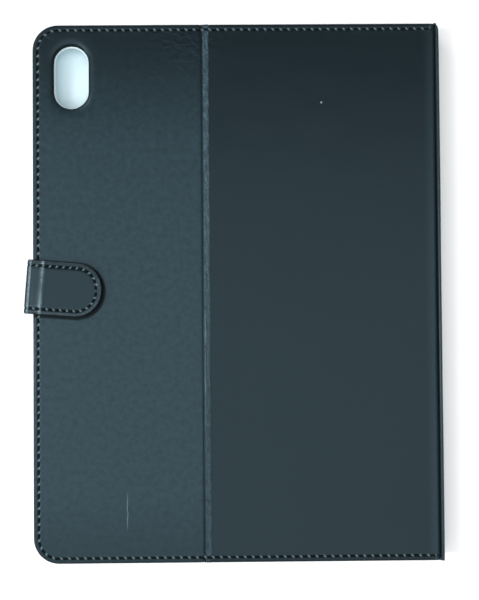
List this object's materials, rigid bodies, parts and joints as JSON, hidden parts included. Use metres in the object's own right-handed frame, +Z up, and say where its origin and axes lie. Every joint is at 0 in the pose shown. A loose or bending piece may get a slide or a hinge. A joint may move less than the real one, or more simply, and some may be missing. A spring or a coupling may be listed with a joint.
{
  "type": "tablet case",
  "caption": "Folio case for a tablet: stiffened leather covers on a flexible spine, a stand flap with a camera window, an inner tray and a magnetic strap.",
  "frame": {"origin": "centre of the bounding box in plan, on the surface that the front cover lies on", "axes": "+Z up, through the front cover to the back; +Y towards the camera window's end; +X towards the spine"},
  "size_m": [0.1974, 0.255, 0.0174],
  "materials": {
    "leather": "smooth dark teal-black synthetic leather with a fine grain, slightly glossy",
    "strap_leather": "the same leather in two layers, glossier where it bends",
    "board": "grey-brown pressed fibre board",
    "lining": "pale blue-grey microfibre, matt",
    "thread": "dark twisted polyester thread with a low sheen",
    "magnet": "nickel-plated magnet",
    "adhesive": "double-sided adhesive sheet",
    "tray": "frosted pale moulded plastic"
  },
  "bodies": {
    "front_cover": {"front_cover_skin": "leather", "front_cover_board": "board", "front_cover_lining": "lining", "front_cover_stitching": "thread", "sleep_magnets": "magnet", "strap_tail": "strap_leather"},
    "spine": {"spine_skin": "leather", "spine_board": "board", "spine_lining": "lining"},
    "back_panel": {"back_panel_skin": "leather", "back_panel_board": "board", "back_panel_lining": "lining", "back_panel_stitching": "thread", "tray_adhesive": "adhesive", "tablet_tray": "tray"},
    "stand_flap": {"flap_skin": "leather", "flap_board": "board", "flap_lining": "lining", "flap_stitching": "thread", "clasp_keeper": "magnet"},
    "strap_side": {"strap_side_skin": "strap_leather", "strap_side_lining": "strap_leather", "strap_side_stitching": "thread"},
    "strap_tab": {"strap_tab_skin": "strap_leather", "strap_tab_core": "board", "strap_tab_lining": "strap_leather", "clasp_magnet": "magnet", "strap_tab_stitching": "thread"}
  },
  "joints": [
    {"name": "cover_open", "type": "hinge", "parent": "front_cover", "child": "spine", "pos_m": [0.09865, 0, 0], "axis": [0, 1, 0], "range_deg": [0, 90]},
    {"name": "back_open", "type": "hinge", "parent": "spine", "child": "back_panel", "pos_m": [0.09865, 0, 0.0143], "axis": [0, 1, 0], "range_deg": [0, 90]},
    {"name": "stand_fold", "type": "hinge", "parent": "back_panel", "child": "stand_flap", "pos_m": [-0.01309, 0, 0.0143], "axis": [0, 1, 0], "range_deg": [0, 150]},
    {"name": "strap_root", "type": "hinge", "parent": "front_cover", "child": "strap_side", "pos_m": [-0.09865, 0.0032, 0.0008], "axis": [0, -1, 0], "range_deg": [0, 90]},
    {"name": "strap_bend", "type": "hinge", "parent": "strap_side", "child": "strap_tab", "pos_m": [-0.09865, 0.0032, 0.01745], "axis": [0, -1, 0], "range_deg": [0, 90]}
  ],
  "couplings": [
    {"joint": "back_open", "follows": "cover_open", "ratio": 1}
  ]
}
